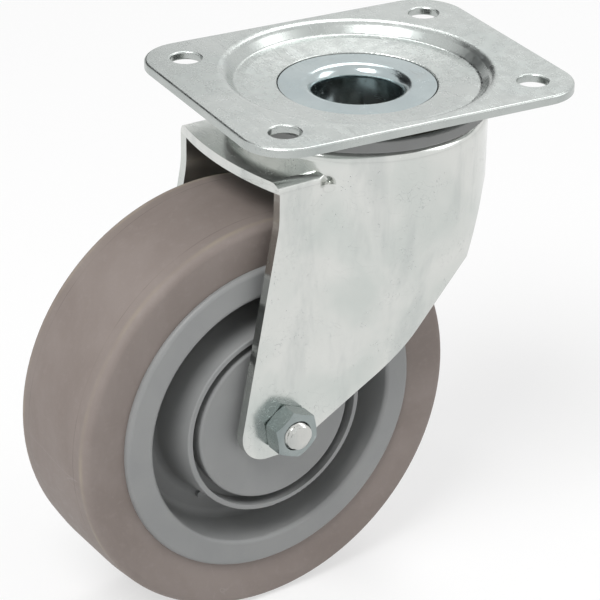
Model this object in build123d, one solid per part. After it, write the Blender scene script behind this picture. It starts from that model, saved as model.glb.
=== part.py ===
from build123d import *
import os
from math import atan2, cos, hypot, radians, sqrt, tan

# Swivel castor with a pressed steel fork, in millimetres.
# The origin is on the swivel axis at the top plate's upper face. +Z is up, and the plate's long side
# lies along X. The fork and wheel are built trailing towards -X, then turned to their rest angle.

# Top plate
plate_sheet = 2.5
plate_corner_radius = 14.0
plate_edge_rounding = 0.7
hole_pitch_long = 80.0
hole_pitch_short = 60.0
hole_margin = 12.5
hole_diameter = 9.0
hole_edge_rounding = 0.5

# Dish pressed into the plate round the swivel axis
dish_wall_run = 3.1
dish_wall_drop = 3.3
dish_rim_width = 3.0
dish_floor_run = 2.9
dish_floor_drop = 0.85
dish_mark_depth = 0.3
plate_bend = 1.0
seat_bend = 1.2
seat_lip_rounding = 0.3

# Hollow king pin with a round head
pin_head_overhang = 7.5
pin_seat_play = 0.3
pin_head_sunk = 0.3
pin_sheet = 2.6
pin_bore_radius = 12.8
pin_bend = 0.9
pin_flare_width = 3.6

# Swivel bearing: two rows of balls in pressed races
swivel_ball_diameter = 5.56
upper_race_land = 0.45
lower_race_stand = 5.2
upper_ball_count = 18
lower_ball_count = 12
race_depth = 1.0
ball_play = 0.04
retainer_thickness = 1.4
retainer_wall = 0.7
lower_race_sheet = 2.5
lower_race_rim = 1.6

# Dust seal between the plate and the fork
seal_overhang = 0.4
seal_wall = 1.7
seal_foot_thickness = 1.1
seal_gap = 0.3
seal_lift = 0.15

# Pressed fork
fork_sheet = 3.0
fork_bend = 0.4
drum_shoulder = 8.2
drum_centre_drop = 2.3
drum_centre_gap = 0.1
drum_centre_slope = 1.2
pin_clearance = 0.6
ledge_drop = 6.1
ledge_reach = 9.1
ledge_bow = 3.3
flank_start_drop = 26.0
flank_end_drop = 74.0
flank_blend = 30.0
crease_blend = 6.5
skirt_drop = 20.5
skirt_blend = 6.0
leg_rear_inset = 11.4
leg_knee_behind_axle = 39.2
leg_knee_above_axle = 11.7
leg_knee_radius = 35.0
leg_front_straight = 18.5
leg_front_blend = 30.0
foot_below_axle = 8.7
foot_before_axle = 16.2
foot_behind_axle = 1.9
foot_front_radius = 8.5
foot_rear_radius = 14.0
dimple_radius = 4.2
dimple_depth = 1.5
dimple_inset = 11.7
dimple_drop = 10.9
rest_angle = 5.1

# Wheel place and axle
trail = 41.0
tyre_clearance = 11.2
bolt_diameter = 8.0
bolt_head_height = 5.3
bolt_beyond_nut = 1.6
bolt_tip_chamfer = 0.8
bolt_hole_play = 0.15
nut_height = 6.5
spanner_size = 13.0
spanner_chamfer = 1.0
nut_turn = 7.5
axle_tube_diameter = 12.0
side_spacer_wall = 2.5
side_spacer_length = 4.5
inner_spacer_wall = 2.0

# Wheel
wheel_diameter = 125.0
tread_width = 37.5
tread_fall = 0.7
tread_flat_width = 20.0
tread_blend = 30.0
shoulder_rounding = 2.4
sidewall_inset = 1.1
sidewall_height = 8.4
tyre_thickness = 13.9
rim_stand = 0.45
rim_lip_rounding = 1.5
rim_dish = 0.7
rim_bed_depth = 2.4
rim_bed_width = 28.0
rim_flange = 8.4
recess_mouth_rounding = 1.2
recess_floor_rounding = 2.5
recess_draft = 0.9
web_thickness = 8.0
hub_ring_wall = 1.5
hub_ring_stand = 1.5
hub_ring_draft = 1.6
hub_well_depth = 5.8
hub_boss_wall = 4.0
gate_count = 3
gate_radius = 1.3
gate_height = 1.5
gate_circle_gap = 1.5
gate_angle = 119.0
cap_boss_run = 5.4
cap_groove = 2.5
cap_inset = 0.15
cap_wall = 1.5
cap_edge_rounding = 0.9
cap_boss_gap = 0.2
cap_hole_play = 0.6

# Wheel bearings, one in each end of the hub
bearing_outer_diameter = 32.0
bearing_width = 10.0
bearing_sink = 2.2
bearing_shoulder = 1.5
bearing_groove_depth = 1.075
bearing_ball_count = 7
bearing_ring_height = 3.1
bearing_play = 0.02
cage_ring_width = 2.2
cage_rim = 0.9
cage_play = 0.08
shield_thickness = 0.4
shield_inset = 0.3
shield_play = 0.25

# Radii of the swivel head
pin_outer_radius = pin_bore_radius + pin_sheet
pin_head_radius = pin_outer_radius + pin_head_overhang
seat_radius = pin_head_radius + pin_seat_play
drum_centre_radius = seat_radius + plate_sheet + drum_centre_gap
lower_race_radius = pin_outer_radius + lower_race_stand
race_gap = swivel_ball_diameter + 2 * ball_play - 2 * race_depth
race_half_width = sqrt((swivel_ball_diameter / 2 + ball_play) ** 2 - (race_gap / 2) ** 2)
upper_race_radius = drum_centre_radius + drum_centre_slope + upper_race_land + race_half_width
drum_radius = upper_race_radius + drum_shoulder
dish_floor_radius = upper_race_radius + dish_floor_run
dish_rim_radius = dish_floor_radius + dish_rim_width
dish_radius = dish_rim_radius + dish_wall_run

# Heights of the swivel head, from the plate's upper face down
floor_inner_height = -dish_wall_drop - dish_floor_drop
pin_head_height = floor_inner_height - pin_head_sunk
seat_height = pin_head_height - pin_sheet
floor_share = (dish_floor_radius - upper_race_radius) / (dish_floor_radius - seat_radius)
floor_under_race = -dish_wall_drop - dish_floor_drop * floor_share - plate_sheet
fork_top = floor_under_race - race_gap
upper_ball_height = fork_top + race_gap / 2
drum_centre_height = fork_top - drum_centre_drop
lower_race_top = drum_centre_height - fork_sheet - race_gap
lower_ball_height = lower_race_top + race_gap / 2
lower_race_bottom = lower_race_top - lower_race_sheet
ledge_height = fork_top - ledge_drop
retainer_width = swivel_ball_diameter + 4 * ball_play + 2 * retainer_wall

# Plate size round its holes
plate_length = hole_pitch_long + 2 * hole_margin
plate_width = hole_pitch_short + 2 * hole_margin

# Places along the axle, from the wheel's middle plane
rim_face = tread_width / 2 + rim_stand
hub_face = rim_face + hub_ring_stand
well_floor = hub_face - hub_well_depth
cap_face = hub_face - cap_inset
bearing_face = hub_face - bearing_sink
bearing_shoulder_face = bearing_face - bearing_width
bearing_middle = bearing_face - bearing_width / 2
leg_inner = bearing_face + side_spacer_length
leg_outer = leg_inner + fork_sheet

# Radii of the wheel
boss_radius = bearing_outer_diameter / 2 + hub_boss_wall
cap_radius = boss_radius + cap_boss_run
hub_ring_radius = cap_radius + cap_groove + hub_ring_wall
rim_radius = wheel_diameter / 2 - tyre_thickness
recess_radius = rim_radius - rim_flange
bearing_pitch_radius = (bearing_outer_diameter + axle_tube_diameter) / 4
bearing_ball_space = bearing_outer_diameter / 2 - axle_tube_diameter / 2 - 2 * bearing_ring_height
bearing_ball_diameter = bearing_ball_space + 2 * bearing_groove_depth
side_spacer_radius = axle_tube_diameter / 2 + side_spacer_wall

# Fork and axle places seen from the side
ledge_front = drum_radius + ledge_reach
axle_height = ledge_height - fork_sheet - tyre_clearance - wheel_diameter / 2
foot_height = axle_height - foot_below_axle


def section(points, radii={}):
    """Closed outline with some corners rounded, upright in the plane of the axis."""
    corner_radii = [radii.get(index, 0) for index in range(len(points))]
    return Plane.XZ * make_face(FilletPolyline(*points, radius=corner_radii, close=True))


def turned(outline):
    """Solid of revolution about the Z axis."""
    return revolve(outline, Axis.Z)


def ring(outer, inner, low, high):
    """Plain ring about the Z axis."""
    return turned(section([(inner, low), (outer, low), (outer, high), (inner, high)]))


def mirrored_section(half_points, half_radii):
    """Outline given for one side of the wheel's middle plane, completed on the other side."""
    last = 2 * len(half_points) - 1
    points = half_points + [(r, -a) for r, a in reversed(half_points)]
    radii = dict(half_radii)
    radii.update({last - index: radius for index, radius in half_radii.items()})
    return section(points, radii)


def far_side_of_sheet(line, bend, thickness):
    """Line at one sheet thickness to the right of the given line, and both lines' bend radii."""
    steps = [(x1 - x0, y1 - y0) for (x0, y0), (x1, y1) in zip(line, line[1:])]
    rights = [(dy / hypot(dx, dy), -dx / hypot(dx, dy)) for dx, dy in steps]
    far_line = [(line[0][0] + rights[0][0] * thickness, line[0][1] + rights[0][1] * thickness)]
    near_radii = []
    far_radii = []
    for corner, before, after in zip(line[1:], rights, rights[1:]):
        turn = atan2(before[0] * after[1] - before[1] * after[0], before[0] * after[0] + before[1] * after[1])
        across = (before[0] + after[0], before[1] + after[1])
        reach = thickness / cos(turn / 2) / hypot(*across)
        far_line.append((corner[0] + across[0] * reach, corner[1] + across[1] * reach))
        near_radii.append(bend if turn > 0 else bend + thickness)
        far_radii.append(bend + thickness if turn > 0 else bend)
    end = line[-1]
    far_line.append((end[0] + rights[-1][0] * thickness, end[1] + rights[-1][1] * thickness))
    return far_line, near_radii, far_radii


def sheet_section(line, bend, thickness):
    """Bent sheet seen edge on, with the same radius inside every bend."""
    far_line, near_radii, far_radii = far_side_of_sheet(line, bend, thickness)
    points = line + far_line[::-1]
    radii = [0] + near_radii + [0, 0] + far_radii[::-1] + [0]
    return section(points, dict(enumerate(radii)))


def ball_row(count, pitch_radius, height, diameter):
    """Separate balls spread evenly round the Z axis."""
    places = PolarLocations(pitch_radius, count)
    return Compound([Pos(0, 0, height) * place * Sphere(diameter / 2) for place in places])


def race_groove(radius, height):
    """Round path of the swivel balls, with their play, for cutting a race."""
    return Pos(0, 0, height) * Torus(radius, swivel_ball_diameter / 2 + ball_play)


def make_top_plate():
    """Pressed plate: a flat border with four holes, and a dish that takes the king pin's head."""
    far = plate_length
    wall_shift = plate_sheet * tan(atan2(dish_wall_drop, dish_wall_run) / 2)
    upper = [
        (pin_outer_radius, seat_height),
        (seat_radius, seat_height),
        (seat_radius, floor_inner_height),
        (dish_floor_radius, -dish_wall_drop),
        (dish_rim_radius, -dish_wall_drop),
        (dish_radius, 0),
        (far, 0),
    ]
    under = [
        (far, -plate_sheet),
        (dish_radius + wall_shift, -plate_sheet),
        (dish_rim_radius + wall_shift, -dish_wall_drop - plate_sheet),
        (dish_floor_radius, -dish_wall_drop - plate_sheet),
        (seat_radius + plate_sheet, floor_inner_height - plate_sheet),
        (seat_radius + plate_sheet, seat_height - plate_sheet),
        (pin_outer_radius, seat_height - plate_sheet),
    ]
    radii = {0: pin_bend, 2: seat_lip_rounding, 4: plate_bend, 5: plate_bend + plate_sheet}
    radii.update({8: plate_bend, 9: plate_bend + plate_sheet, 11: seat_lip_rounding, 12: seat_bend})
    sheet = turned(section(upper + under, radii))
    outline = extrude(RectangleRounded(plate_length, plate_width, plate_corner_radius), -plate_width / 2)
    outline = fillet(outline.edges().group_by(Axis.Z)[-1], plate_edge_rounding)
    plate = outline & sheet
    for place in GridLocations(hole_pitch_long, hole_pitch_short, 2, 2):
        plate -= place * Cylinder(hole_diameter / 2, 3 * plate_sheet)
    circles = plate.edges().filter_by(GeomType.CIRCLE)
    hole_rims = circles.filter_by(lambda edge: abs(edge.radius - hole_diameter / 2) < 0.01)
    plate = fillet(hole_rims, hole_edge_rounding)
    plate -= Pos(0, 0, -dish_wall_drop) * Torus(dish_floor_radius, dish_mark_depth)
    return plate - race_groove(upper_race_radius, upper_ball_height)


def make_king_pin():
    """Hollow rivet: its head lies in the dish, and its lower end is spun out under the lower race."""
    bottom = lower_race_bottom - pin_sheet
    line = [
        (pin_outer_radius + pin_flare_width, bottom),
        (pin_bore_radius, bottom),
        (pin_bore_radius, pin_head_height),
        (pin_head_radius, pin_head_height),
    ]
    return turned(sheet_section(line, pin_bend, pin_sheet))


def make_lower_race():
    """Hardened race ring, seated on the king pin's flare and turned up at its rim."""
    lip_radius = lower_race_radius + retainer_width / 2 + lower_race_rim
    foot = lower_race_top - lower_race_sheet
    points = [
        (pin_outer_radius, foot),
        (lip_radius, foot),
        (lip_radius, lower_race_top + race_gap / 3),
        (lip_radius - lower_race_rim, lower_race_top + race_gap / 3),
        (lip_radius - lower_race_rim, lower_race_top),
        (pin_outer_radius, lower_race_top),
    ]
    radii = {0: pin_bend, 1: lower_race_sheet / 2, 2: lower_race_rim / 3, 4: lower_race_rim / 4}
    return turned(section(points, radii)) - race_groove(lower_race_radius, lower_ball_height)


def make_retainer(count, radius, height):
    """Flat ring that keeps the swivel balls apart, with a pocket round each."""
    half = retainer_thickness / 2
    blank = ring(radius + retainer_width / 2, radius - retainer_width / 2, height - half, height + half)
    pocket = Cylinder(swivel_ball_diameter / 2 + 2 * ball_play, 2 * retainer_thickness)
    for place in PolarLocations(radius, count):
        blank -= Pos(0, 0, height) * place * pocket
    return blank


def make_swivel_seal():
    """Grey seal ring: a foot on the drum's flat top, and a wall that hides the upper balls."""
    foot_radius = upper_race_radius + retainer_width / 2 + seal_gap
    outer = drum_radius + seal_overhang
    top = -dish_wall_drop - plate_sheet - seal_gap
    flat_radius = drum_radius - fork_sheet - fork_bend
    points = [
        (foot_radius, fork_top),
        (flat_radius, fork_top),
        (outer - seal_wall, fork_top + seal_lift),
        (outer, fork_top + seal_lift),
        (outer, top),
        (outer - seal_wall, top),
        (outer - seal_wall, fork_top + seal_foot_thickness),
        (foot_radius, fork_top + seal_foot_thickness),
    ]
    return turned(section(points, {3: seal_wall / 4, 4: seal_wall / 4}))


def drum(inset):
    """Round head of the fork above its ledge: its outer face, or the same face moved in."""
    slope_radius = drum_centre_radius + drum_centre_slope
    line = [
        (0, drum_centre_height),
        (drum_centre_radius, drum_centre_height),
        (slope_radius, fork_top),
        (drum_radius, fork_top),
        (drum_radius, ledge_height),
    ]
    far_line, near_radii, far_radii = far_side_of_sheet(line, fork_bend, fork_sheet)
    face_line = far_line if inset else line
    radii = far_radii if inset else near_radii
    points = face_line + [(0, ledge_height)]
    return turned(section(points, dict(enumerate([0] + radii + [0, 0]))))


def flank_core(inset):
    """Upright body that bounds the flanks: the drum's circle run into the legs with a soft crease."""
    radius = drum_radius - inset
    half_width = leg_outer - inset
    crease = sqrt(radius**2 - half_width**2)
    strip = Pos(-radius / 2, 0) * Rectangle(radius, 2 * half_width)
    plan = Circle(radius) + strip
    for side in (half_width, -half_width):
        corner = plan.vertices().sort_by_distance(Vector(-crease, side))[0]
        plan = fillet(corner, crease_blend + inset)
    crease_top = ledge_height - fork_bend - fork_sheet
    lower = Pos(0, 0, foot_height) * extrude(plan, crease_top - foot_height)
    upper = Pos(0, 0, crease_top) * extrude(Circle(radius), ledge_height - crease_top)
    return lower + upper


def flanks(inset):
    """Walls under the drum, which draw in from its full width to the legs' width."""
    start = fork_top - flank_start_drop
    end = fork_top - flank_end_drop
    lean = atan2(drum_radius - leg_outer, start - end)
    wide = drum_radius + fork_sheet
    inner_shift = inset * tan(lean / 2)
    half_width = leg_outer - inset
    wide_height = end + inner_shift + (wide - half_width) / tan(lean)
    points = [
        (0, ledge_height),
        (wide, max(ledge_height, wide_height)),
        (wide, wide_height),
        (half_width, end + inner_shift),
        (half_width, foot_height),
        (0, foot_height),
    ]
    if wide_height >= ledge_height:
        reach = (ledge_height - end - inner_shift) * tan(lean)
        points = [(0, ledge_height), (half_width + reach, ledge_height)] + points[3:]
    corner_radii = [0] * (len(points) - 3) + [flank_blend + inset, 0, 0]
    half = Plane.YZ * make_face(FilletPolyline(*points, radius=corner_radii, close=True))
    block = extrude(half, drum_radius, both=True)
    block += mirror(block, Plane.XZ)
    return block & flank_core(inset)


def leg_block(inset):
    """Front of the fork: flat ledge and flat legs, with the fold between them."""
    half_width = leg_outer - inset
    top = ledge_height - inset
    fold = fork_bend + fork_sheet - inset
    points = [(-half_width, foot_height), (half_width, foot_height), (half_width, top), (-half_width, top)]
    outline = Plane.YZ * make_face(FilletPolyline(*points, radius=[0, 0, fold, fold], close=True))
    return extrude(outline, -(ledge_front + foot_before_axle))


def dimples(inset):
    """Round dents at the corners where the ledge, the drum and each leg meet.

    The modeller leaves the near leg's dent (-Y) uncut, without an error.
    """
    stand_off = leg_outer + dimple_radius - dimple_depth
    forward = drum_radius - dimple_inset
    height = fork_top - dimple_drop
    return [Pos(-forward, y, height) * Sphere(dimple_radius + inset) for y in (-stand_off, stand_off)]


def hood(inset):
    """Solid bounded by the sheet's outer face, or by its inner face when moved in by the sheet."""
    dents = dimples(inset)
    head = drum(inset) + flanks(inset) - dents
    return head + (leg_block(inset) - dents)


def side_outline():
    """What stays of the hood in side view: the head, and legs that sweep forward to the axle."""
    far = 2 * plate_length
    ledge_under = ledge_height - fork_sheet
    skirt_edge = fork_top - skirt_drop
    front = ledge_front - ledge_bow
    points = [
        (-front, ledge_under),
        (-far, ledge_under),
        (-far, far),
        (far, far),
        (far, skirt_edge),
        (drum_radius - leg_rear_inset, skirt_edge),
        (leg_knee_behind_axle - trail, axle_height + leg_knee_above_axle),
        (foot_behind_axle - trail, foot_height),
        (-foot_before_axle - trail, foot_height),
        (-front, fork_top - leg_front_straight),
    ]
    rear_radii = {5: skirt_blend, 6: leg_knee_radius, 7: foot_rear_radius}
    front_radii = {8: foot_front_radius, 9: leg_front_blend}
    return section(points, rear_radii | front_radii)


def make_fork():
    """Fork drawn from one sheet: ball races, round drum, front ledge, rear skirt and two legs."""
    fork = hood(0) - hood(fork_sheet)
    fork &= extrude(side_outline(), 2 * drum_radius, both=True)
    bow_radius = (leg_outer**2 + ledge_bow**2) / (2 * ledge_bow)
    bow = Pos(bow_radius - ledge_front, 0, ledge_height) * Cylinder(bow_radius, 4 * fork_sheet)
    strip = Box(2 * (leg_outer - ledge_bow), 4 * leg_outer, 4 * fork_sheet)
    front_strip = Pos(-ledge_front, 0, ledge_height) * strip
    fork -= front_strip - bow
    fork -= Pos(0, 0, drum_centre_height) * Cylinder(pin_outer_radius + pin_clearance, 4 * fork_sheet)
    fork -= race_groove(upper_race_radius, upper_ball_height)
    fork -= race_groove(lower_race_radius, lower_ball_height)
    return fork - on_axle(Cylinder(bolt_diameter / 2 + bolt_hole_play, 3 * leg_outer))


def on_axle(piece):
    """Moves a piece from the Z axis to the wheel's axle, its upper end towards +Y."""
    return Pos(-trail, 0, axle_height) * Rot(-90, 0, 0) * piece


def hexagon(height):
    """Hexagon for a spanner, standing on the XY plane, with its top corners turned off."""
    across_corners = spanner_size / cos(radians(30))
    blank = extrude(RegularPolygon(across_corners / 2, 6), height)
    edge = across_corners / 2
    slant = spanner_chamfer * tan(radians(30))
    points = [(0, 0), (edge, 0), (edge, height - slant), (edge - spanner_chamfer, height), (0, height)]
    return blank & turned(section(points))


def make_axle_bolt():
    """Hexagon bolt from the far side, through both legs and the axle tube."""
    tip = -(leg_outer + nut_height + bolt_beyond_nut)
    radius = bolt_diameter / 2
    chamfer_top = tip + bolt_tip_chamfer
    tip_points = [(0, tip), (radius - bolt_tip_chamfer, tip), (radius, chamfer_top)]
    shank = turned(section(tip_points + [(radius, leg_outer), (0, leg_outer)]))
    return shank + Pos(0, 0, leg_outer) * hexagon(bolt_head_height)


def make_axle_nut():
    """Hexagon nut on the near leg."""
    blank = Rot(180, 0, 0) * Rot(0, 0, 90 + nut_turn) * hexagon(nut_height)
    return Pos(0, 0, -leg_outer) * blank - Cylinder(bolt_diameter / 2, 4 * leg_outer)


def make_wheel_rim():
    """Moulded rim: flange, web, hub ring and the bosses that hold the bearings."""
    half_points = [
        (bearing_outer_diameter / 2 - bearing_shoulder, bearing_shoulder_face),
        (bearing_outer_diameter / 2, bearing_shoulder_face),
        (bearing_outer_diameter / 2, cap_face - cap_wall - cap_boss_gap),
        (boss_radius, cap_face - cap_wall - cap_boss_gap),
        (boss_radius, well_floor),
        (hub_ring_radius - hub_ring_wall, well_floor),
        (hub_ring_radius - hub_ring_wall, hub_face),
        (hub_ring_radius, hub_face),
        (hub_ring_radius + hub_ring_draft, web_thickness / 2),
        (recess_radius - recess_draft, web_thickness / 2),
        (recess_radius, rim_face + rim_dish),
        (rim_radius, rim_face),
        (rim_radius, rim_bed_width / 2),
        (rim_radius - rim_bed_depth, rim_bed_width / 2 - rim_bed_depth / 2),
    ]
    half_radii = {
        7: hub_ring_wall / 3,
        8: recess_floor_rounding,
        9: recess_floor_rounding,
        10: recess_mouth_rounding,
        11: rim_lip_rounding,
    }
    rim = turned(mirrored_section(half_points, half_radii))
    gate_ring = hub_ring_radius + hub_ring_draft + gate_circle_gap
    gate = Cylinder(gate_radius, gate_height, align=(Align.CENTER, Align.CENTER, Align.MAX))
    for place in PolarLocations(gate_ring, gate_count, start_angle=gate_angle):
        rim += Pos(0, 0, -web_thickness / 2) * place * gate
    return rim


def make_tyre():
    """Rubber tyre keyed onto the rim, with a low crown, round shoulders and hollow sidewalls."""
    side = tread_width / 2
    half_points = [
        (rim_radius - rim_bed_depth, rim_bed_width / 2 - rim_bed_depth / 2),
        (rim_radius, rim_bed_width / 2),
        (rim_radius, side - sidewall_inset),
        (rim_radius + sidewall_height, side),
        (wheel_diameter / 2 - tread_fall, side),
        (wheel_diameter / 2, tread_flat_width / 2),
    ]
    half_radii = {3: 3 * sidewall_height, 4: shoulder_rounding, 5: tread_blend}
    return turned(mirrored_section(half_points, half_radii))


def make_hub_cap():
    """Press-in cap that covers the bearing and its boss."""
    hole = side_spacer_radius + cap_hole_play
    points = [
        (hole, cap_face - cap_wall),
        (cap_radius - cap_wall, cap_face - cap_wall),
        (cap_radius - cap_wall, well_floor),
        (cap_radius, well_floor),
        (cap_radius, cap_face),
        (hole, cap_face),
    ]
    return turned(section(points, {4: cap_edge_rounding, 5: cap_edge_rounding / 3}))


def bearing_groove(play):
    """Path of the wheel bearing's balls."""
    return Pos(0, 0, bearing_middle) * Torus(bearing_pitch_radius, bearing_ball_diameter / 2 + play)


def make_bearing_rings():
    """Outer and inner ring of a wheel bearing, with the groove for its balls."""
    outer = bearing_outer_diameter / 2
    inner = axle_tube_diameter / 2
    low = bearing_shoulder_face
    outer_ring = ring(outer, outer - bearing_ring_height, low, bearing_face)
    inner_ring = ring(inner + bearing_ring_height, inner, low, bearing_face)
    return outer_ring - bearing_groove(bearing_play), inner_ring - bearing_groove(bearing_play)


def make_bearing_cage():
    """Band between the bearing rings, with a pocket round each ball."""
    half = bearing_ball_diameter / 2 + cage_rim
    outer = bearing_pitch_radius + cage_ring_width / 2
    inner = bearing_pitch_radius - cage_ring_width / 2
    cage = ring(outer, inner, bearing_middle - half, bearing_middle + half)
    for place in PolarLocations(bearing_pitch_radius, bearing_ball_count):
        pocket = Rot(0, 90, 0) * Sphere(bearing_ball_diameter / 2 + cage_play)
        cage -= Pos(0, 0, bearing_middle) * place * pocket
    return cage


def make_bearing_shields():
    """Thin washers that close both sides of a bearing."""
    outer = bearing_outer_diameter / 2 - bearing_ring_height
    inner = axle_tube_diameter / 2 + bearing_ring_height + shield_play
    high = bearing_face - shield_inset
    low = bearing_shoulder_face + shield_inset
    outside = ring(outer, inner, high - shield_thickness, high)
    inside = ring(outer, inner, low, low + shield_thickness)
    return Compound([outside, inside])


def bearing_pieces():
    """The pieces at one end of the hub, by name, for the end towards +Y."""
    outer_ring, inner_ring = make_bearing_rings()
    balls = ball_row(bearing_ball_count, bearing_pitch_radius, bearing_middle, bearing_ball_diameter)
    return {
        "bearing_outer_ring": outer_ring,
        "bearing_inner_ring": inner_ring,
        "bearing_balls": balls,
        "bearing_cage": make_bearing_cage(),
        "bearing_shields": make_bearing_shields(),
        "hub_cap": make_hub_cap(),
    }


def make_side_spacers():
    """Short bushes between the bearings' inner rings and the legs."""
    spacer = ring(side_spacer_radius, axle_tube_diameter / 2, bearing_face, leg_inner)
    return Compound([spacer, mirror(spacer, Plane.XY)])


def plate_pieces():
    """Pieces that stay with the top plate."""
    return {
        "top_plate": make_top_plate(),
        "king_pin": make_king_pin(),
        "lower_race": make_lower_race(),
    }


def ball_rows():
    """The swivel bearing's balls and the rings that space them."""
    return {
        "upper_balls": ball_row(upper_ball_count, upper_race_radius, upper_ball_height, swivel_ball_diameter),
        "upper_retainer": make_retainer(upper_ball_count, upper_race_radius, upper_ball_height),
        "lower_balls": ball_row(lower_ball_count, lower_race_radius, lower_ball_height, swivel_ball_diameter),
        "lower_retainer": make_retainer(lower_ball_count, lower_race_radius, lower_ball_height),
    }


def axle_pieces():
    """Pieces on the axle line, built about the Z axis."""
    tube_radius = axle_tube_diameter / 2
    shoulder = bearing_shoulder_face
    pieces = {
        "axle_bolt": make_axle_bolt(),
        "axle_nut": make_axle_nut(),
        "axle_tube": ring(tube_radius, bolt_diameter / 2 + bolt_hole_play, -leg_inner, leg_inner),
        "inner_spacer": ring(tube_radius + inner_spacer_wall, tube_radius, -shoulder, shoulder),
        "side_spacers": make_side_spacers(),
        "wheel_rim": make_wheel_rim(),
        "tyre": make_tyre(),
    }
    for name, piece in bearing_pieces().items():
        pieces["left_" + name] = piece
        pieces["right_" + name] = mirror(piece, Plane.XY)
    return pieces


def main():
    """Builds every piece in its place and writes one file for each."""
    turn = Rot(0, 0, rest_angle)
    pieces = plate_pieces()
    pieces.update(ball_rows())
    pieces["swivel_seal"] = make_swivel_seal()
    pieces["fork"] = turn * make_fork()
    for name, piece in axle_pieces().items():
        pieces[name] = turn * on_axle(piece)
    os.makedirs("parts", exist_ok=True)
    for name, piece in pieces.items():
        export_step(piece, f"parts/{name}.step")


main()
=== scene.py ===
from math import cos, pi, radians, sin, tan

import bpy
from mathutils import Matrix, Vector


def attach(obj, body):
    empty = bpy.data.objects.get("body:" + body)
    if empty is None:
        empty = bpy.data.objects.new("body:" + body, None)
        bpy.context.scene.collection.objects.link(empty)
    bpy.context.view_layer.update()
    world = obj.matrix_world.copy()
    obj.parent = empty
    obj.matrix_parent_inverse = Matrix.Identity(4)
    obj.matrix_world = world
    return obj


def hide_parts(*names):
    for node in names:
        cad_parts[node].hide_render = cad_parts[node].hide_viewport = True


# The looks of a swivel castor, in metres. The frame gives every piece its shape and place:
# the origin is on the swivel axis at the plate's upper face, and +Z is up.
# Colours are shares of red, green and blue. The scale of a pattern is in turns per metre.

# Camera, fitted to the photograph, with its lens and sensor in millimetres
camera_azimuth = radians(-29.04)
camera_elevation = radians(27.36)
camera_roll = radians(0.8)
camera_target = Vector((-0.01779, 0.0001, -0.07025))
camera_distance = 0.74887
camera_lens = 151.91
camera_sensor = 36.0

# Axle line
rest_angle = radians(5.1)
trail = 0.041
axle_height = -0.0925
leg_outer = 0.026

# Hexagons of the bolt's head and the nut, with turned chamfers
flat_radius = 0.013 / 2
head_height = 0.0053
head_face_radius = flat_radius * 0.94
nut_height = 0.0065
nut_turn = radians(97.5)
nut_face_radius = flat_radius * 0.93
seat_radius = flat_radius * 0.95
seat_bevel = 0.0003
chamfer_radius = flat_radius * 0.97
chamfer_angle = radians(30)
chamfer_height = 0.002
sharp_angle = radians(24)

# Bolt's shank, thread and tip
bolt_radius = 0.004
bolt_end = 0.0341
bolt_columns = 96
shank_step = 0.0001
thread_start = 0.018
thread_pitch = 0.00125
thread_depth = 0.0007
thread_slope = 1.3
thread_crest = 0.15
thread_steps = 10
tip_inset = 0.0006
tip_slope = 1.6
tip_face_inset = 0.0011

# Nut's bore, whose skin ends inside the bolt, and its countersinks
nut_columns = 144
bore_overlap = 0.0002
inner_sink_width = 0.0003
inner_sink_depth = 0.0004
outer_sink_width = 0.0006
outer_sink_depth = 0.0008

# Pressed dent of the near leg, at the corner of ledge, drum and leg, before the fork's turn
dent_place = (-0.0277, -0.0262, -0.0190)
dent_radius = 0.0030
dent_depth = 0.0010

# Room. The shadow share is how much of the floor's own shading the camera sees.
floor_height = -0.155
floor_size = 8.0
floor_shade = 0.93
floor_roughness = 0.9
shadow_share = 0.4
world_strength = 0.36
card_place = (-0.17, 3.2, 1.75)
card_width = 3.1
card_height = 2.2
card_colour = (0.035, 0.035, 0.0385)
card_roughness = 0.8
white = (1.0, 1.0, 1.0)

# Lamps: place, side of the square and power in watts
lamp_aim = (0.0, 0.0, -0.07)
lamps = {
    "key_lamp": ((-0.85, -0.5, 1.3), 0.8, 19.0),
    "fill_lamp": ((1.2, -0.6, 0.85), 0.9, 5.0),
    "top_lamp": ((0.6, 0.75, 1.2), 0.7, 6.0),
}

# Colours of each finish, between which its clouds move
fork_colours = ((0.67, 0.68, 0.655), (0.58, 0.61, 0.585))
# The plate's green tint is its plating's own; it is painted darker than the fork's zinc, as painted darker
# reflection
plate_tint_and_painted_reflection_colours = ((0.50, 0.525, 0.51), (0.43, 0.46, 0.445))
pin_colours = ((0.45, 0.51, 0.515), (0.37, 0.43, 0.44))
# The nut's zinc is painted much darker than the bolt's: painted dark reflection in its faces
nut_painted_reflection_colours = ((0.32, 0.36, 0.355), (0.24, 0.28, 0.28))
bolt_colours = ((0.60, 0.60, 0.575), (0.50, 0.51, 0.49))
steel_colours = ((0.60, 0.61, 0.62), (0.72, 0.73, 0.74))
wheel_colours = ((0.262, 0.268, 0.268), (0.285, 0.29, 0.288))
seal_colours = ((0.25, 0.255, 0.252), (0.275, 0.28, 0.277))
rubber_colours = ((0.215, 0.178, 0.160), (0.262, 0.222, 0.203))
nylon_colours = ((0.58, 0.55, 0.47), (0.66, 0.64, 0.56))

# Range in which most of a cloudy pattern lies, and its middle
cloud_low = 0.3
cloud_high = 0.7
cloud_middle = 0.5

# Scratches are drawn out, and lie in patches of their own stretch, scale and soft edge
scratch_stretch = 0.06
scratch_patch_stretch = 0.5
scratch_patch_scale = 0.22
scratch_patch_edge = 0.07

# Pits have a flat floor, and lie in patches too
pit_floor = 0.4
pit_patch_scale = 0.12
pit_patch_edge = 0.06

# Stains, scratches and pits of the plating
streak_colour = (0.40, 0.43, 0.425)
streak_share = 0.36
mark_colour = (0.30, 0.33, 0.33)
mark_share = 0.32
mark_roughness = 0.12
pit_scale = 1100.0
pit_size = 0.34
pit_cover = 0.42

# Scratches of the plating, in three directions: angles, scale and width
scratch_sets = [
    ((0.3, 0.2, 0.5), 420.0, 0.010),
    ((0.9, -0.4, 1.9), 300.0, 0.007),
    ((-0.6, 1.1, 2.9), 520.0, 0.009),
]

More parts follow.
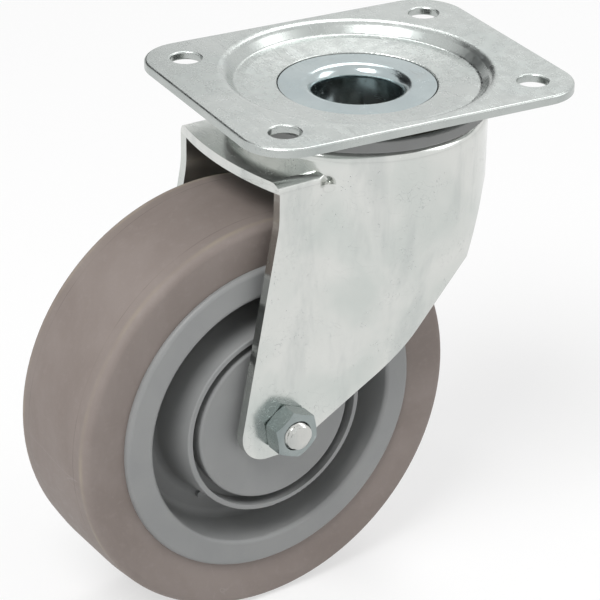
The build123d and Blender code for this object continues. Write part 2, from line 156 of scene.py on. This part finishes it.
# Rubbed places of the wheel's plastic and of the tyre
plastic_rub_colour = (0.42, 0.42, 0.41)
plastic_rub_share = 0.3
dust_colour = (0.31, 0.27, 0.25)
dust_share = 0.35
scuff_colour = (0.36, 0.32, 0.30)
scuff_share = 0.35
tyre_rub_colour = (0.30, 0.262, 0.235)
tyre_rub_share = 0.3

# Marks round the tyre: place from its middle plane, width, strength and colour
tyre_marks = [
    (0.0165, 0.0013, 0.5, (0.36, 0.31, 0.235)),
    (0.0128, 0.00022, 0.7, (0.13, 0.105, 0.095)),
]


def at_rest(x, y, z):
    """A place on the fork as it is built, turned with it to the rest angle."""
    turned_x = x * cos(rest_angle) - y * sin(rest_angle)
    turned_y = x * sin(rest_angle) + y * cos(rest_angle)
    return turned_x, turned_y, z


class Graph:
    """Builds the nodes of one material or of the world."""

    def __init__(self, owner):
        owner.use_nodes = True
        self.nodes = owner.node_tree.nodes
        self.links = owner.node_tree.links

    def add(self, kind, inputs=None, **settings):
        """One node, with its settings, and its inputs given as values or as other nodes' outputs."""
        node = self.nodes.new(kind)
        for key, value in settings.items():
            setattr(node, key, value)
        for key, value in (inputs or {}).items():
            self.feed(node.inputs[key], value)
        return node

    def feed(self, socket, value):
        """Gives a socket another node's output, a colour, or any other value."""
        if isinstance(value, bpy.types.NodeSocket):
            self.links.new(value, socket)
        elif socket.type == "RGBA":
            socket.default_value = (*value, 1.0)
        else:
            socket.default_value = value

    def math(self, operation, *values):
        return self.add("ShaderNodeMath", dict(enumerate(values)), operation=operation).outputs[0]

    def highest(self, first, *others):
        for other in others:
            first = self.math("MAXIMUM", first, other)
        return first

    def shown(self):
        """1 for rays that show what they hit, and 0 for rays that only gather its light."""
        path = self.add("ShaderNodeLightPath").outputs
        return self.highest(path["Is Camera Ray"], path["Is Glossy Ray"], path["Is Transmission Ray"])


class MaterialGraph(Graph):
    """Builds the nodes of one material, with patterns that stay with the piece."""

    def __init__(self, name):
        self.material = bpy.data.materials.new(name)
        super().__init__(self.material)
        self.shader = self.nodes["Principled BSDF"]
        self.place = self.add("ShaderNodeTexCoord").outputs["Object"]

    def set(self, **values):
        """Values of the shader's own sockets, named with underscores."""
        for key, value in values.items():
            self.feed(self.shader.inputs[key.replace("_", " ")], value)

    def noise(self, scale, detail=2.0, roughness=0.5, distortion=0.0, place=None):
        """Cloudy pattern from 0 to 1."""
        inputs = {"Vector": place or self.place, "Scale": scale, "Detail": detail}
        inputs.update({"Roughness": roughness, "Distortion": distortion})
        return self.add("ShaderNodeTexNoise", inputs).outputs["Fac"]

    def spread(self, value, low, high, to_low=0.0, to_high=1.0):
        """The stretch from low to high, moved to another stretch with soft ends."""
        inputs = {"Value": value, "From Min": low, "From Max": high, "To Min": to_low, "To Max": to_high}
        return self.add("ShaderNodeMapRange", inputs, interpolation_type="SMOOTHSTEP").outputs[0]

    def turned(self, angles, stretch):
        """The piece's own place, turned and stretched, for marks that run one way."""
        inputs = {"Vector": self.place, "Rotation": angles, "Scale": stretch}
        return self.add("ShaderNodeMapping", inputs).outputs[0]

    def from_axle(self):
        """The place measured from the wheel's axle, with Z along the axle."""
        parts = {0: self.place, 1: at_rest(-trail, 0.0, axle_height)}
        moved = self.add("ShaderNodeVectorMath", parts, operation="SUBTRACT").outputs[0]
        straight = {"Vector": moved, "Rotation": (0.0, 0.0, -rest_angle)}
        upright = self.add("ShaderNodeMapping", straight).outputs[0]
        laid = {"Vector": upright, "Rotation": (radians(90), 0.0, 0.0)}
        return self.add("ShaderNodeMapping", laid).outputs[0]

    def rings(self, place, scale):
        """Fine rings round the Z axis of the given place."""
        parts = self.add("ShaderNodeSeparateXYZ", {0: place})
        squares = [self.math("POWER", part, 2.0) for part in parts.outputs[:2]]
        across = self.math("SQRT", self.math("ADD", *squares))
        line = self.add("ShaderNodeCombineXYZ", {0: across}).outputs[0]
        return self.noise(scale, detail=3.0, roughness=0.6, place=line)

    def line_at(self, value, level, width):
        """Thin soft line where a value passes a level."""
        distance = self.math("ABSOLUTE", self.math("SUBTRACT", value, level))
        return self.spread(distance, width, 0.0)

    def hairlines(self, angles, scale, width, cover):
        """Thin scratches that run one way and break off, as a share from 0 to 1."""
        drawn_out = self.turned(angles, (1.0, scratch_stretch, 1.0))
        drawn = self.noise(scale, detail=1.0, roughness=0.4, distortion=0.3, place=drawn_out)
        patch_place = self.turned(angles, (1.0, scratch_patch_stretch, 1.0))
        patch = self.noise(scale * scratch_patch_scale, roughness=0.6, place=patch_place)
        covered = self.spread(patch, 1.0 - cover, 1.0 - cover + scratch_patch_edge)
        return self.math("MULTIPLY", self.line_at(drawn, cloud_middle, width), covered)

    def specks(self, scale, size, cover):
        """Small round pits in loose groups."""
        cells = self.add("ShaderNodeTexVoronoi", {"Vector": self.place, "Scale": scale, "Randomness": 1.0})
        pit = self.spread(cells.outputs["Distance"], size, size * pit_floor)
        patch = self.noise(scale * pit_patch_scale)
        covered = self.spread(patch, 1.0 - cover, 1.0 - cover + pit_patch_edge)
        return self.math("MULTIPLY", pit, covered)

    def blend(self, share, first, second):
        """Colour between two colours."""
        inputs = {"Factor": share, 6: first, 7: second}
        return self.add("ShaderNodeMix", inputs, data_type="RGBA").outputs[2]

    def bump(self, height, depth, normal=None):
        """Relief of the given depth in metres."""
        inputs = {"Height": height, "Distance": depth, "Strength": 1.0}
        if normal is not None:
            inputs["Normal"] = normal
        return self.add("ShaderNodeBump", inputs).outputs[0]


def near_dent(graph, normal):
    """Relief of the round dent pressed into the near leg's top corner."""
    parts = {0: graph.place, 1: at_rest(*dent_place)}
    distance = graph.add("ShaderNodeVectorMath", parts, operation="DISTANCE").outputs["Value"]
    hollow = graph.spread(distance, dent_radius, 0.0, to_low=0.0, to_high=-1.0)
    return graph.bump(hollow, dent_depth, normal)


def spun_rings(graph, normal):
    """Fine rings round the swivel axis, left by spinning."""
    return graph.bump(graph.rings(graph.place, scale=2200.0), depth=0.000006, normal=normal)


def plated_steel(name, colours, sheen, cover, relief=None):
    """Bright zinc plating: cloudy, with fine grain, hairline scratches and small pits.

    The sheen is a range of roughness, the cover is the scratched share, and the relief adds
    marks of the piece's own.
    """
    graph = MaterialGraph(name)
    clouds = graph.noise(38.0, detail=3.0, roughness=0.55, distortion=0.4)
    base = graph.blend(graph.spread(clouds, 0.32, 0.68), *colours)
    drawn_down = graph.turned((0.0, 0.0, 0.0), (1.0, 1.0, 0.28))
    streaks = graph.noise(75.0, detail=4.0, roughness=0.62, distortion=0.2, place=drawn_down)
    base = graph.blend(graph.spread(streaks, 0.5, 0.72, to_high=streak_share), base, streak_colour)
    scratches = [graph.hairlines(*scratch_set, cover) for scratch_set in scratch_sets]
    marks = graph.highest(*scratches, graph.specks(pit_scale, pit_size, pit_cover))
    base = graph.blend(graph.math("MULTIPLY", marks, mark_share), base, mark_colour)
    fine_clouds = graph.noise(260.0, detail=3.0, roughness=0.6)
    roughness = graph.spread(fine_clouds, cloud_low, cloud_high, *sheen)
    roughness = graph.math("ADD", roughness, graph.spread(clouds, 0.35, 0.75, to_low=-0.03, to_high=0.05))
    roughness = graph.math("ADD", roughness, graph.math("MULTIPLY", marks, mark_roughness))
    normal = graph.bump(graph.noise(2600.0, roughness=0.6), depth=0.000006)
    normal = graph.bump(graph.noise(90.0), depth=0.00003, normal=normal)
    normal = graph.bump(graph.math("MULTIPLY", marks, -1.0), depth=0.00001, normal=normal)
    if relief is not None:
        normal = relief(graph, normal)
    graph.set(Base_Color=base, Metallic=1.0, Roughness=roughness, Normal=normal)
    return graph.material


def ground_steel():
    """Bearing steel, finely ground, with a thin film of grease."""
    graph = MaterialGraph("ground_steel")
    film = graph.noise(300.0, detail=3.0, roughness=0.6)
    base = graph.blend(film, *steel_colours)
    roughness = graph.spread(film, cloud_low, cloud_high, to_low=0.16, to_high=0.3)
    normal = graph.bump(graph.noise(3500.0), depth=0.000003)
    graph.set(Base_Color=base, Metallic=1.0, Roughness=roughness, Normal=normal)
    return graph.material


def moulded_plastic(name, colours, about_axle):
    """Grey moulded plastic: fine matt grain, faint flow clouds, a few rubbed marks."""
    graph = MaterialGraph(name)
    clouds = graph.noise(70.0, detail=3.0, roughness=0.55, distortion=0.5)
    base = graph.blend(graph.spread(clouds, cloud_low, cloud_high), *colours)
    rubbed = graph.hairlines((0.4, 0.8, 1.1), scale=500.0, width=0.006, cover=0.4)
    base = graph.blend(graph.math("MULTIPLY", rubbed, plastic_rub_share), base, plastic_rub_colour)
    roughness = graph.spread(clouds, cloud_low, cloud_high, to_low=0.42, to_high=0.54)
    normal = graph.bump(graph.noise(3200.0, roughness=0.6), depth=0.000008)
    if about_axle:
        normal = graph.bump(graph.rings(graph.from_axle(), scale=900.0), depth=0.000005, normal=normal)
    graph.set(Base_Color=base, Roughness=roughness, Normal=normal)
    return graph.material


def line_round_tyre(graph, from_middle, place, width, strength):
    """Broken line round the tyre, at a distance from its middle plane."""
    patch = graph.noise(48.0, detail=3.0, roughness=0.6)
    broken = graph.spread(patch, 0.42, 0.62, to_low=0.15, to_high=strength)
    return graph.math("MULTIPLY", graph.line_at(from_middle, place, width), broken)


def tyre_rubber():
    """Warm grey rubber: mottled, dusty, with faint moulding rings and scuffs."""
    graph = MaterialGraph("tyre_rubber")
    clouds = graph.noise(26.0, detail=4.0, roughness=0.6, distortion=0.6)
    base = graph.blend(graph.spread(clouds, cloud_low, cloud_high), *rubber_colours)
    mottle = graph.noise(420.0, detail=3.0, roughness=0.65)
    base = graph.blend(graph.spread(mottle, 0.45, 0.8, to_high=dust_share), base, dust_colour)
    scuffs = graph.hairlines((0.1, 0.9, 0.4), scale=160.0, width=0.012, cover=0.42)
    base = graph.blend(graph.math("MULTIPLY", scuffs, scuff_share), base, scuff_colour)
    rubbed = graph.noise(9.0, detail=3.0, roughness=0.6, distortion=0.8)
    base = graph.blend(graph.spread(rubbed, 0.5, 0.75, to_high=tyre_rub_share), base, tyre_rub_colour)
    axle_place = graph.from_axle()
    along = graph.add("ShaderNodeSeparateXYZ", {0: axle_place}).outputs[2]
    from_middle = graph.math("ABSOLUTE", along)
    for place, width, strength, colour in tyre_marks:
        line = line_round_tyre(graph, from_middle, place, width, strength)
        base = graph.blend(line, base, colour)
    roughness = graph.spread(mottle, cloud_low, cloud_high, to_low=0.56, to_high=0.72)
    normal = graph.bump(graph.noise(1900.0, detail=3.0, roughness=0.6), depth=0.00002)
    normal = graph.bump(graph.rings(axle_place, scale=500.0), depth=0.00001, normal=normal)
    graph.set(Base_Color=base, Roughness=roughness, Normal=normal)
    return graph.material


def natural_nylon():
    """Unpainted nylon of the ball cages."""
    graph = MaterialGraph("natural_nylon")
    base = graph.blend(graph.noise(300.0), *nylon_colours)
    normal = graph.bump(graph.noise(2500.0), depth=0.000006)
    graph.set(Base_Color=base, Roughness=0.45, Normal=normal)
    return graph.material


def linked(name, data):
    """New object in the scene."""
    thing = bpy.data.objects.new(name, data)
    bpy.context.collection.objects.link(thing)
    return thing


def axle_matrix():
    """Place of the axle: local Z runs along it, towards the far leg."""
    turn = Matrix.Rotation(rest_angle, 4, "Z")
    return turn @ Matrix.Translation((-trail, 0, axle_height)) @ Matrix.Rotation(radians(-90), 4, "X")


def wrapped_surface(name, rows, columns):
    """Closed skin from rows of points given by functions of the angle round Z, ends included."""
    vertices = []
    for row in rows:
        for column in range(columns):
            angle = 2 * pi * column / columns
            radius, height = row(angle)
            vertices.append((radius * cos(angle), radius * sin(angle), height))
    faces = []
    for row in range(len(rows) - 1):
        for column in range(columns):
            near = row * columns + column
            side = row * columns + (column + 1) % columns
            faces.append((near, side, side + columns, near + columns))
    faces.append(tuple(reversed(range(columns))))
    last = (len(rows) - 1) * columns
    faces.append(tuple(range(last, last + columns)))
    mesh = bpy.data.meshes.new(name)
    mesh.from_pydata(vertices, [], faces)
    mesh.update()
    return linked(name, mesh)


def finish_piece(piece, material, body, node):
    """Gives a piece its shading and finish, and seats it in place of a node of the frame."""
    for polygon in piece.data.polygons:
        polygon.use_smooth = True
    piece.data.set_sharp_from_angle(angle=sharp_angle)
    piece.data.materials.append(material)
    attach(piece, body)
    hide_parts(node)


def level_row(radius, height):
    """Row of constant radius."""
    return lambda angle: (radius, height)


def hexagon_radius(angle, turn):
    """Distance from the axis to the hexagon's side, whose first corner is at the given turn."""
    sector = (angle - turn) % (pi / 3) - pi / 6
    return flat_radius / cos(sector)


def hexagon_row(height, turn):
    """Row on the hexagon's sides."""
    return lambda angle: (hexagon_radius(angle, turn), height)


def chamfer_row(height, turn, direction):
    """Row where the turned chamfer meets the hexagon's sides."""

    def row(angle):
        radius = hexagon_radius(angle, turn)
        return radius, height - direction * (radius - chamfer_radius) * tan(chamfer_angle)

    return row


def threaded_rows(start, end):
    """Rows of a thread along the axis, from start to end, with a chamfered tip."""
    count = int(abs(end - start) / thread_pitch * thread_steps)
    rows = []
    for step in range(count + 1):
        height = start + (end - start) * step / count

        def row(angle, height=height):
            turns = abs(height - start) / thread_pitch - angle / (2 * pi)
            groove = abs(2 * (turns % 1.0) - 1)
            cut = min(1.0, max(0.0, groove * thread_slope - thread_crest))
            from_tip = abs(end - height)
            tip_radius = bolt_radius - tip_inset + from_tip * tip_slope
            return min(bolt_radius - thread_depth * cut, tip_radius), height

        rows.append(row)
    return rows


def make_bolt(material):
    """Axle bolt with its chamfered head on the far side, and its thread through the nut."""
    turn = 0.0
    far = leg_outer + head_height
    rows = [
        level_row(head_face_radius, far),
        chamfer_row(far, turn, 1),
        hexagon_row(far - chamfer_height, turn),
        hexagon_row(leg_outer + seat_bevel, turn),
        level_row(seat_radius, leg_outer),
        level_row(bolt_radius, leg_outer - shank_step),
        level_row(bolt_radius, -thread_start),
    ]
    rows.extend(threaded_rows(-thread_start - shank_step, -bolt_end))
    rows.append(level_row(bolt_radius - tip_face_inset, -bolt_end))
    bolt = wrapped_surface("axle_bolt_threaded", rows[::-1], bolt_columns)
    bolt.matrix_world = axle_matrix()
    finish_piece(bolt, material, "swivel_assembly", "axle_bolt")


def make_nut(material):
    """Hexagon nut with a turned chamfer and a countersunk bore."""
    turn = -nut_turn
    outer = -leg_outer - nut_height
    inner = -leg_outer
    rows = [
        level_row(bolt_radius - bore_overlap, inner - inner_sink_depth),
        level_row(bolt_radius + inner_sink_width, inner),
        level_row(seat_radius, inner),
        chamfer_row(inner, turn, 1),
        hexagon_row(inner - chamfer_height, turn),
        hexagon_row(outer + chamfer_height, turn),
        chamfer_row(outer, turn, -1),
        level_row(nut_face_radius, outer),
        level_row(bolt_radius + outer_sink_width, outer),
        level_row(bolt_radius - bore_overlap, outer + outer_sink_depth),
    ]
    nut = wrapped_surface("axle_nut_chamfered", rows[::-1], nut_columns)
    nut.matrix_world = axle_matrix()
    finish_piece(nut, material, "swivel_assembly", "axle_nut")


def paint_nodes(frame, materials):
    """Puts each finish on the frame's own pieces."""
    for material, nodes in materials:
        for name in nodes:
            for slot in frame["nodes"][name].material_slots:
                slot.material = material


def bearing_names(*pieces):
    return [f"{side}_bearing_{piece}" for side in ("left", "right") for piece in pieces]


def make_rectangle(name, width, depth, height, material):
    """Flat rectangle across the Z axis, at a height above the object's own origin."""
    x, y = width / 2, depth / 2
    mesh = bpy.data.meshes.new(name)
    mesh.from_pydata([(-x, -y, height), (x, -y, height), (x, y, height), (-x, y, height)], [], [(0, 1, 2, 3)])
    mesh.materials.append(material)
    return linked(name, mesh)


def facing(place, aim):
    """Rotation that turns the -Z side of something at a place towards the aim."""
    return (Vector(aim) - Vector(place)).to_track_quat("-Z", "Y").to_euler()


def make_floor():
    """Plain pale floor, white to the camera but for the castor's soft shadow."""
    graph = MaterialGraph("pale_floor")
    graph.set(Base_Color=(floor_shade, floor_shade, floor_shade), Roughness=floor_roughness)
    glow = graph.add("ShaderNodeEmission", {"Color": white, "Strength": 1.0}).outputs[0]
    share = graph.math("MULTIPLY", graph.shown(), 1.0 - shadow_share)
    mixed = graph.add("ShaderNodeMixShader", {0: share, 1: graph.shader.outputs[0], 2: glow}).outputs[0]
    graph.feed(graph.nodes["Material Output"].inputs["Surface"], mixed)
    floor = make_rectangle("floor", floor_size, floor_size, floor_height, graph.material)


def make_world():
    """Even white surroundings that light the castor, and are plain white where they are seen."""
    world = bpy.data.worlds.new("surroundings")
    bpy.context.scene.world = world
    graph = Graph(world)
    strength = graph.add("ShaderNodeMapRange", {"Value": graph.shown(), "To Min": world_strength}).outputs[0]
    backdrop = graph.nodes["Background"]
    graph.feed(backdrop.inputs["Color"], white)
    graph.feed(backdrop.inputs["Strength"], strength)


def make_lamp(name, place, size, power):
    """Square soft lamp that faces the castor."""
    data = bpy.data.lights.new(name, "AREA")
    data.shape = "SQUARE"
    data.size = size
    data.energy = power
    lamp = linked(name, data)
    lamp.location = place
    lamp.rotation_euler = facing(place, lamp_aim)


def make_card():
    """Dark card out of the picture, which gives the plated steel something to reflect."""
    graph = MaterialGraph("back_card")
    graph.set(Base_Color=card_colour, Roughness=card_roughness)
    card = make_rectangle("back_card", card_width, card_height, 0.0, graph.material)
    card.location = card_place
    card.rotation_euler = facing(card_place, (0.0, 0.0, 0.0))


def make_camera():
    """Camera at the photograph's viewing angle."""
    back_x = sin(camera_azimuth) * cos(camera_elevation)
    back_y = -cos(camera_azimuth) * cos(camera_elevation)
    back = Vector((back_x, back_y, sin(camera_elevation)))
    level_right = Vector((cos(camera_azimuth), sin(camera_azimuth), 0))
    level_up = back.cross(level_right)
    right = level_right * cos(camera_roll) + level_up * sin(camera_roll)
    up = back.cross(right)
    data = bpy.data.cameras.new("camera")
    data.lens = camera_lens
    data.sensor_width = camera_sensor
    camera = linked("camera", data)
    turn = Matrix((right, up, back)).transposed().to_4x4()
    camera.matrix_world = Matrix.Translation(camera_target + back * camera_distance) @ turn
    bpy.context.scene.camera = camera


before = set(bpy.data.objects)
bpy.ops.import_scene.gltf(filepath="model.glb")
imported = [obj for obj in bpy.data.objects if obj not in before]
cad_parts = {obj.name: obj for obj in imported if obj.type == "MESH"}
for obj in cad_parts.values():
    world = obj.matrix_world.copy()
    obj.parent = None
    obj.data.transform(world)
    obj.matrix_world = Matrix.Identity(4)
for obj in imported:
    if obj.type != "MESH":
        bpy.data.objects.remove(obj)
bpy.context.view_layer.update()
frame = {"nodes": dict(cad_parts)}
bpy.context.scene.view_settings.view_transform = "Standard"

fork_zinc = plated_steel("fork_zinc", fork_colours, sheen=(0.15, 0.23), cover=0.45, relief=near_dent)
# The plate's zinc is darker than the fork's: painted darker reflection over the plating's own tint
plate_zinc_painted_reflection = plated_steel("plate_zinc_painted_reflection", plate_tint_and_painted_reflection_colours, sheen=(0.22, 0.31), cover=0.5)
pin_zinc = plated_steel("pressed_zinc", pin_colours, sheen=(0.15, 0.23), cover=0.42, relief=spun_rings)
# The nut's darker colours are painted dark reflection, not a different plating
nut_zinc_painted_reflection = plated_steel("nut_zinc_painted_reflection", nut_painted_reflection_colours, sheen=(0.17, 0.26), cover=0.4)
bolt_zinc = plated_steel("bolt_zinc", bolt_colours, sheen=(0.17, 0.26), cover=0.4)
steel = ground_steel()
wheel_plastic = moulded_plastic("wheel_plastic", wheel_colours, about_axle=True)
seal_plastic = moulded_plastic("seal_plastic", seal_colours, about_axle=False)
paint_nodes(frame, [
    (plate_zinc_painted_reflection, ["top_plate"]),
    (fork_zinc, ["fork"]),
    (pin_zinc, ["king_pin"]),
    (steel, ["lower_race", "upper_balls", "lower_balls", "axle_tube", "inner_spacer", "side_spacers"]),
    (steel, bearing_names("outer_ring", "inner_ring", "balls", "shields")),
    (wheel_plastic, ["wheel_rim", "left_hub_cap", "right_hub_cap"]),
    (seal_plastic, ["swivel_seal"]),
    (natural_nylon(), ["upper_retainer", "lower_retainer"] + bearing_names("cage")),
    (tyre_rubber(), ["tyre"]),
])
make_bolt(bolt_zinc)
make_nut(nut_zinc_painted_reflection)

make_floor()
make_world()
for name, (place, size, power) in lamps.items():
    make_lamp(name, place, size, power)
make_card()
make_camera()
